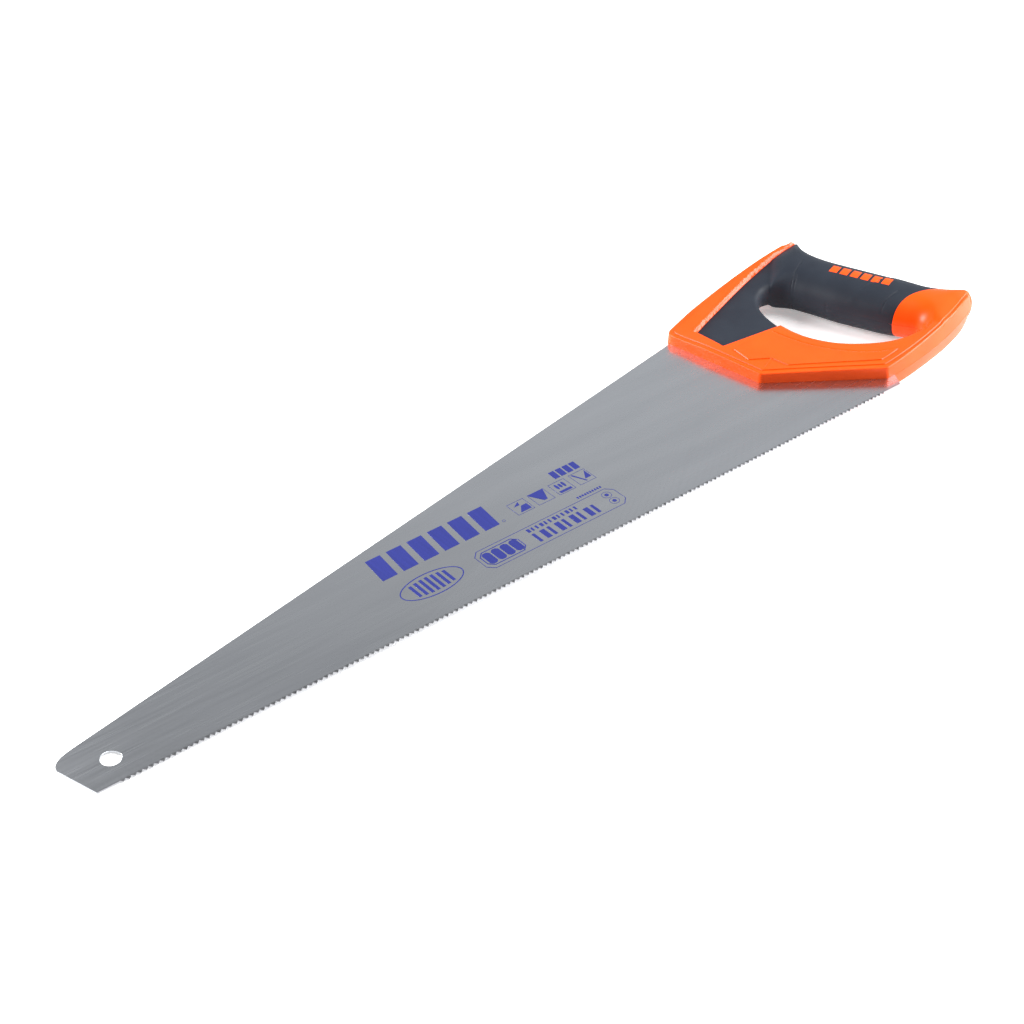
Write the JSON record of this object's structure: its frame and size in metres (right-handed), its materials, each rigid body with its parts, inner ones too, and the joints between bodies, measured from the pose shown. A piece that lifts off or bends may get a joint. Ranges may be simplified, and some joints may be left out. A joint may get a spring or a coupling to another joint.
{
  "type": "hand saw",
  "caption": "Hand saw with a tapered hardpoint blade, a hang hole at the toe and a closed two-shell handle with soft grip skins.",
  "frame": {"origin": "centre of the saw's bounding box, on the blade's middle plane", "axes": "+X along the tooth line from the toe to the handle, +Y from the teeth to the back of the blade, +Z the blade's normal"},
  "size_m": [0.661, 0.1566, 0.0316],
  "materials": {
    "blade_steel": "satin, ground across the blade",
    "hard_plastic": "semi-gloss orange",
    "soft_grip": "matt, slightly bluish black",
    "blade_print": "flat blue ink"
  },
  "bodies": {
    "root": {"blade": "blade_steel", "upper_handle_shell": "hard_plastic", "lower_handle_shell": "hard_plastic", "upper_grip_skin": "soft_grip", "lower_grip_skin": "soft_grip"}
  },
  "joints": []
}
